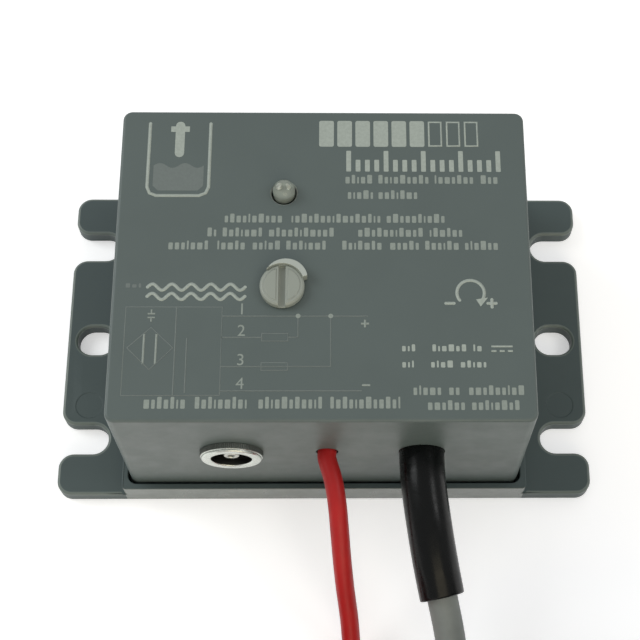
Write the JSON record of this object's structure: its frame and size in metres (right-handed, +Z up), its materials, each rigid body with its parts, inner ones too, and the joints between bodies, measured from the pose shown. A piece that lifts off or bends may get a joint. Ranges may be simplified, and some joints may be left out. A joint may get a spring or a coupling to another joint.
{
  "type": "capacitive level switch",
  "caption": "Box-shaped capacitive level switch on a slotted base plate, with adjuster, status light, probe socket, earth lead and cable.",
  "frame": {"origin": "middle of the base plate's underside", "axes": "+X to the right along the ears, +Y to the back, away from the socket and cables, +Z up out of the top face"},
  "size_m": [0.1023, 0.1239, 0.032],
  "materials": {
    "housing_plastic": "fine satin moulded grey",
    "plate_plastic": "satin moulded darker grey",
    "knob_plastic": "pale grey moulded plastic",
    "clear_lens": "clear lens",
    "socket_metal": "nickel plated, turned",
    "contact_gold": "gold plated",
    "sleeve_rubber": "smooth black sleeve",
    "cable_grey": "smooth grey sheath",
    "lead_red": "smooth red insulation",
    "core_brown": "core insulation",
    "core_black": "core insulation",
    "core_white": "core insulation",
    "core_blue": "core insulation",
    "tinned_metal": "tinned",
    "zinc_steel": "zinc plated",
    "tie_black": "nylon tie",
    "board_laminate": "green solder mask",
    "chip_resin": "moulding resin",
    "capacitor_ceramic": "fired ceramic",
    "capacitor_can": "sleeved can",
    "white_plastic": "white plastic",
    "trimmer_blue": "dark blue plastic"
  },
  "bodies": {
    "case": {"housing": "housing_plastic", "base_plate": "plate_plastic", "housing_screws": "zinc_steel", "circuit_board": "board_laminate", "board_screws": "zinc_steel", "trimmer_body": "trimmer_blue", "trimmer_pins": "tinned_metal", "status_led": "clear_lens", "led_leads": "tinned_metal", "sensor_chip": "chip_resin", "voltage_regulator": "chip_resin", "output_transistor": "chip_resin", "protection_diodes": "chip_resin", "resistors": "chip_resin", "ceramic_capacitors": "capacitor_ceramic", "buffer_capacitor": "capacitor_can", "socket_shell": "socket_metal", "socket_washer": "socket_metal", "socket_nut": "socket_metal", "socket_insulator": "white_plastic", "socket_contact": "contact_gold", "socket_wire": "core_white", "cable_sleeve": "sleeve_rubber", "cable_inner": "cable_grey", "strain_ties": "tie_black", "inner_core_brown": "core_brown", "inner_core_black": "core_black", "inner_core_white": "core_white", "inner_core_blue": "core_blue", "red_lead_inner": "lead_red", "cable_run": "cable_grey", "cable_coil": "cable_grey", "cable_tail": "cable_grey", "core_brown": "core_brown", "core_black": "core_black", "core_white": "core_white", "core_blue": "core_blue", "core_ferrules": "tinned_metal", "red_lead_run": "lead_red", "red_lead_coil": "lead_red", "red_lead_tail": "lead_red", "red_lead_ferrule": "tinned_metal", "coil_ties": "tie_black"},
    "adjuster": {"adjuster": "knob_plastic", "trimmer_rotor": "white_plastic"}
  },
  "joints": [
    {"name": "adjuster_turn", "type": "hinge", "parent": "case", "child": "adjuster", "pos_m": [-0.005, -0.0039, 0.031], "axis": [0, 0, 1], "range_deg": [-135, 135]}
  ]
}
